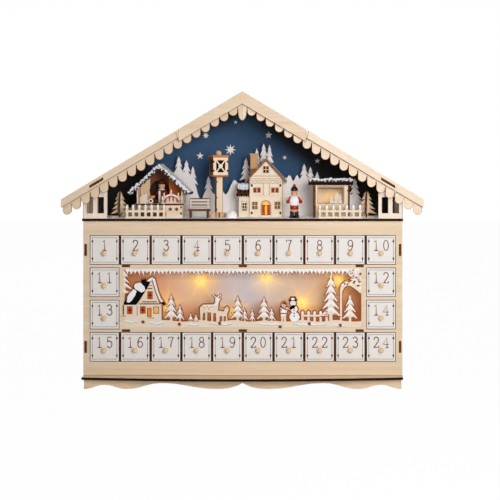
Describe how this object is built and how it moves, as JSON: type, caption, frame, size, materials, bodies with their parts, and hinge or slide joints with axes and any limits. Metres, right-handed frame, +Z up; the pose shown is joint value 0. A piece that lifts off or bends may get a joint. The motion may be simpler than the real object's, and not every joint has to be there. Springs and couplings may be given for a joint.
{
  "type": "advent calendar",
  "caption": "Gabled wooden advent calendar: a cabinet of small pull-out drawers round a fretwork window, with a lit miniature winter village under its roof.",
  "frame": {"origin": "centre of the overall box at the height of the surface it stands on", "axes": "+Z up, the drawer fronts look along -Y, +X to the right seen from the front"},
  "size_m": [0.45, 0.104, 0.371],
  "materials": {
    "wood": "natural birch and lime plywood with burnt laser-cut edges",
    "white_wood": "white painted plywood",
    "snow_wood": "plywood painted white as snow",
    "dark_wood": "dark brown stained plywood with white snow",
    "night_wood": "plywood painted night blue",
    "warm_wood": "plywood painted warm orange brown and grey",
    "painted_red_wood": "turned wood, painted",
    "black_plastic": "moulded black plastic",
    "wire_plastic": "thin insulated wire with small warm lamps"
  },
  "bodies": {
    "cabinet": {"base_board": "wood", "skirt": "wood", "side_panel_left": "wood", "side_panel_right": "wood", "face_board": "wood", "drawer_rack": "wood", "window_backdrop": "warm_wood", "back_panel": "wood", "stage_floor": "snow_wood", "bargeboard_ridge": "wood", "bargeboard_left": "wood", "bargeboard_right": "wood", "scallop_board_left": "wood", "scallop_board_right": "wood", "roof_panel_left": "wood", "roof_panel_right": "wood", "sky_board": "night_wood", "end_window_left": "wood", "end_window_right": "wood", "hills": "snow_wood", "chalet_stall": "wood", "chalet_roof": "dark_wood", "fence_left": "white_wood", "bench": "white_wood", "lantern_tower": "wood", "town_house": "wood", "town_house_roof": "dark_wood", "figure": "painted_red_wood", "kiosk": "white_wood", "fence_right": "white_wood", "fir_left": "wood", "fir_right": "wood", "light_string": "wire_plastic", "battery_box": "black_plastic"},
    "battery_lid": {"battery_lid": "black_plastic"},
    "lamp_switch": {"lamp_switch": "black_plastic"},
    "drawer_01": {"drawer_01": "white_wood"},
    "drawer_02": {"drawer_02": "white_wood"},
    "drawer_03": {"drawer_03": "white_wood"},
    "drawer_04": {"drawer_04": "white_wood"},
    "drawer_05": {"drawer_05": "white_wood"},
    "drawer_06": {"drawer_06": "white_wood"},
    "drawer_07": {"drawer_07": "white_wood"},
    "drawer_08": {"drawer_08": "white_wood"},
    "drawer_09": {"drawer_09": "white_wood"},
    "drawer_10": {"drawer_10": "white_wood"},
    "drawer_11": {"drawer_11": "white_wood"},
    "drawer_12": {"drawer_12": "white_wood"},
    "drawer_13": {"drawer_13": "white_wood"},
    "drawer_14": {"drawer_14": "white_wood"},
    "drawer_15": {"drawer_15": "white_wood"},
    "drawer_16": {"drawer_16": "white_wood"},
    "drawer_17": {"drawer_17": "white_wood"},
    "drawer_18": {"drawer_18": "white_wood"},
    "drawer_19": {"drawer_19": "white_wood"},
    "drawer_20": {"drawer_20": "white_wood"},
    "drawer_21": {"drawer_21": "white_wood"},
    "drawer_22": {"drawer_22": "white_wood"},
    "drawer_23": {"drawer_23": "white_wood"},
    "drawer_24": {"drawer_24": "white_wood"}
  },
  "joints": [
    {"name": "battery_lid_slide", "type": "slide", "parent": "cabinet", "child": "battery_lid", "axis": [-1, 0, 0], "range_m": [0, 0.022]},
    {"name": "lamp_switch_slide", "type": "slide", "parent": "cabinet", "child": "lamp_switch", "axis": [0, 0, 1], "range_m": [0, 0.004]},
    {"name": "drawer_01_slide", "type": "slide", "parent": "cabinet", "child": "drawer_01", "axis": [0, -1, 0], "range_m": [0, 0.055]},
    {"name": "drawer_02_slide", "type": "slide", "parent": "cabinet", "child": "drawer_02", "axis": [0, -1, 0], "range_m": [0, 0.055]},
    {"name": "drawer_03_slide", "type": "slide", "parent": "cabinet", "child": "drawer_03", "axis": [0, -1, 0], "range_m": [0, 0.055]},
    {"name": "drawer_04_slide", "type": "slide", "parent": "cabinet", "child": "drawer_04", "axis": [0, -1, 0], "range_m": [0, 0.055]},
    {"name": "drawer_05_slide", "type": "slide", "parent": "cabinet", "child": "drawer_05", "axis": [0, -1, 0], "range_m": [0, 0.055]},
    {"name": "drawer_06_slide", "type": "slide", "parent": "cabinet", "child": "drawer_06", "axis": [0, -1, 0], "range_m": [0, 0.055]},
    {"name": "drawer_07_slide", "type": "slide", "parent": "cabinet", "child": "drawer_07", "axis": [0, -1, 0], "range_m": [0, 0.055]},
    {"name": "drawer_08_slide", "type": "slide", "parent": "cabinet", "child": "drawer_08", "axis": [0, -1, 0], "range_m": [0, 0.055]},
    {"name": "drawer_09_slide", "type": "slide", "parent": "cabinet", "child": "drawer_09", "axis": [0, -1, 0], "range_m": [0, 0.055]},
    {"name": "drawer_10_slide", "type": "slide", "parent": "cabinet", "child": "drawer_10", "axis": [0, -1, 0], "range_m": [0, 0.055]},
    {"name": "drawer_11_slide", "type": "slide", "parent": "cabinet", "child": "drawer_11", "axis": [0, -1, 0], "range_m": [0, 0.055]},
    {"name": "drawer_12_slide", "type": "slide", "parent": "cabinet", "child": "drawer_12", "axis": [0, -1, 0], "range_m": [0, 0.055]},
    {"name": "drawer_13_slide", "type": "slide", "parent": "cabinet", "child": "drawer_13", "axis": [0, -1, 0], "range_m": [0, 0.055]},
    {"name": "drawer_14_slide", "type": "slide", "parent": "cabinet", "child": "drawer_14", "axis": [0, -1, 0], "range_m": [0, 0.055]},
    {"name": "drawer_15_slide", "type": "slide", "parent": "cabinet", "child": "drawer_15", "axis": [0, -1, 0], "range_m": [0, 0.055]},
    {"name": "drawer_16_slide", "type": "slide", "parent": "cabinet", "child": "drawer_16", "axis": [0, -1, 0], "range_m": [0, 0.055]},
    {"name": "drawer_17_slide", "type": "slide", "parent": "cabinet", "child": "drawer_17", "axis": [0, -1, 0], "range_m": [0, 0.055]},
    {"name": "drawer_18_slide", "type": "slide", "parent": "cabinet", "child": "drawer_18", "axis": [0, -1, 0], "range_m": [0, 0.055]},
    {"name": "drawer_19_slide", "type": "slide", "parent": "cabinet", "child": "drawer_19", "axis": [0, -1, 0], "range_m": [0, 0.055]},
    {"name": "drawer_20_slide", "type": "slide", "parent": "cabinet", "child": "drawer_20", "axis": [0, -1, 0], "range_m": [0, 0.055]},
    {"name": "drawer_21_slide", "type": "slide", "parent": "cabinet", "child": "drawer_21", "axis": [0, -1, 0], "range_m": [0, 0.055]},
    {"name": "drawer_22_slide", "type": "slide", "parent": "cabinet", "child": "drawer_22", "axis": [0, -1, 0], "range_m": [0, 0.055]},
    {"name": "drawer_23_slide", "type": "slide", "parent": "cabinet", "child": "drawer_23", "axis": [0, -1, 0], "range_m": [0, 0.055]},
    {"name": "drawer_24_slide", "type": "slide", "parent": "cabinet", "child": "drawer_24", "axis": [0, -1, 0], "range_m": [0, 0.055]}
  ]
}
